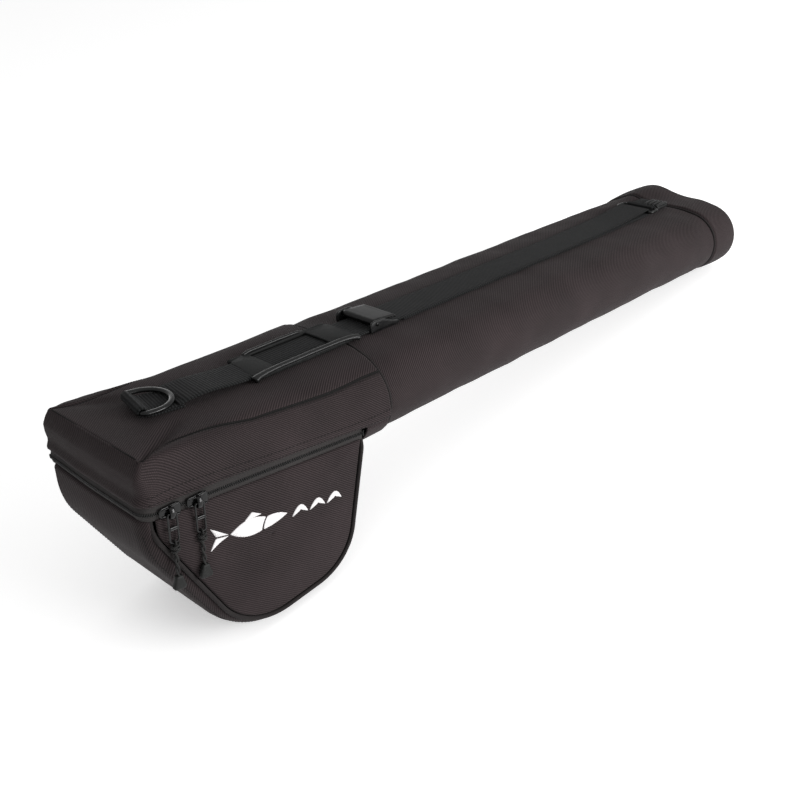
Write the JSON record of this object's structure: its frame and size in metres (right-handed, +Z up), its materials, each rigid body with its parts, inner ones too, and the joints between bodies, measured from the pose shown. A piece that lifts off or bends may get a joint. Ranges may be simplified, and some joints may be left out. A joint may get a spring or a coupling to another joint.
{
  "type": "fishing rod case",
  "caption": "Soft travel case for fly rods and reels: oval padded tube, box head, zip-open D-shaped reel pouch, carry strap with grip, cam buckle and rings.",
  "frame": {"origin": "on the floor under the middle of the case's box, as it stands on its pouch and far end", "axes": "+X from the near head end to the far tube end, +Y to the case's left side, +Z up"},
  "size_m": [0.8058, 0.169, 0.2107],
  "materials": {
    "ballistic_nylon": "coarse woven, matte",
    "webbing": "woven, matte",
    "piping_cloth": "bound edge",
    "foam": "closed cell foam",
    "lining_board": "padded board",
    "tube_plastic": "extruded",
    "zip_tape": "woven tape",
    "zip_coil": "nylon coil",
    "zip_metal": "black enamel",
    "ring_metal": "gloss black enamel",
    "hardware_plastic": "moulded, semi gloss",
    "buckle_metal": "satin black enamel",
    "grip_rubber": "matte moulded",
    "grip_rail": "gloss",
    "pull_cord": "twisted glossy cord",
    "pull_rubber": "moulded",
    "thread": "satin stitch"
  },
  "bodies": {
    "case": {"tube_cover": "ballistic_nylon", "foam_core": "foam", "rod_tube_left": "tube_plastic", "rod_tube_right": "tube_plastic", "far_welt": "piping_cloth", "far_band": "ballistic_nylon", "far_panel": "ballistic_nylon", "far_pad": "foam", "throat_ring": "ballistic_nylon", "throat_welt": "piping_cloth", "hinge_strip": "ballistic_nylon", "head_shell": "ballistic_nylon", "near_panel": "ballistic_nylon", "head_pad": "foam", "zip_coil_upper": "zip_coil", "zip_tape_upper": "zip_tape", "zip_end_stops": "zip_metal", "carry_strap": "webbing", "strap_anchor": "webbing", "d_ring_chape": "webbing", "far_ring": "ring_metal", "far_chape": "webbing", "far_keeper": "hardware_plastic", "buckle_frame": "buckle_metal", "buckle_pin": "buckle_metal"},
    "pouch": {"pouch_panel_left": "ballistic_nylon", "pouch_panel_right": "ballistic_nylon", "pouch_gusset": "ballistic_nylon", "piping_left": "piping_cloth", "piping_right": "piping_cloth", "zip_coil_lower": "zip_coil", "zip_tape_lower": "zip_tape", "reel_divider": "lining_board", "emblem": "thread"},
    "slider_front": {"slider_front": "zip_metal"},
    "slider_rear": {"slider_rear": "zip_metal"},
    "pull_front": {"pull_tab_front": "zip_metal", "pull_cord_front": "pull_cord", "pull_end_front": "pull_rubber"},
    "pull_rear": {"pull_tab_rear": "zip_metal", "pull_cord_rear": "pull_cord", "pull_end_rear": "pull_rubber"},
    "d_ring": {"d_ring": "ring_metal"},
    "grip": {"grip": "grip_rubber", "grip_rails": "grip_rail"},
    "buckle_lever": {"buckle_lever": "buckle_metal"}
  },
  "joints": [
    {"name": "pouch_open", "type": "hinge", "parent": "case", "child": "pouch", "pos_m": [-0.19604, 0, 0.09434], "axis": [0, -1, 0], "range_deg": [0, 88]},
    {"name": "slider_front_travel", "type": "slide", "parent": "case", "child": "slider_front", "axis": [0.9752, -0.0575, -0.2136], "range_m": [0, 0.0045]},
    {"name": "slider_rear_travel", "type": "slide", "parent": "case", "child": "slider_rear", "axis": [0.9752, -0.0575, -0.2136], "range_m": [0, 0.15]},
    {"name": "pull_front_lift", "type": "hinge", "parent": "slider_front", "child": "pull_front", "pos_m": [-0.3792, -0.06958, 0.15875], "axis": [-0.9752, 0.0575, 0.2136], "range_deg": [0, 110]},
    {"name": "pull_rear_lift", "type": "hinge", "parent": "slider_rear", "child": "pull_rear", "pos_m": [-0.35671, -0.07091, 0.15382], "axis": [-0.9752, 0.0575, 0.2136], "range_deg": [0, 110]},
    {"name": "d_ring_flip", "type": "hinge", "parent": "case", "child": "d_ring", "pos_m": [-0.34297, 0.009, 0.20601], "axis": [-0.205, -0.9781, 0.0347], "range_deg": [0, 165]},
    {"name": "grip_slide", "type": "slide", "parent": "case", "child": "grip", "axis": [0.986, 0, -0.1668], "range_m": [-0.018, 0.013]},
    {"name": "buckle_lever_lift", "type": "hinge", "parent": "case", "child": "buckle_lever", "pos_m": [-0.11701, 0, 0.16881], "axis": [0, -1, 0], "range_deg": [0, 100]}
  ]
}
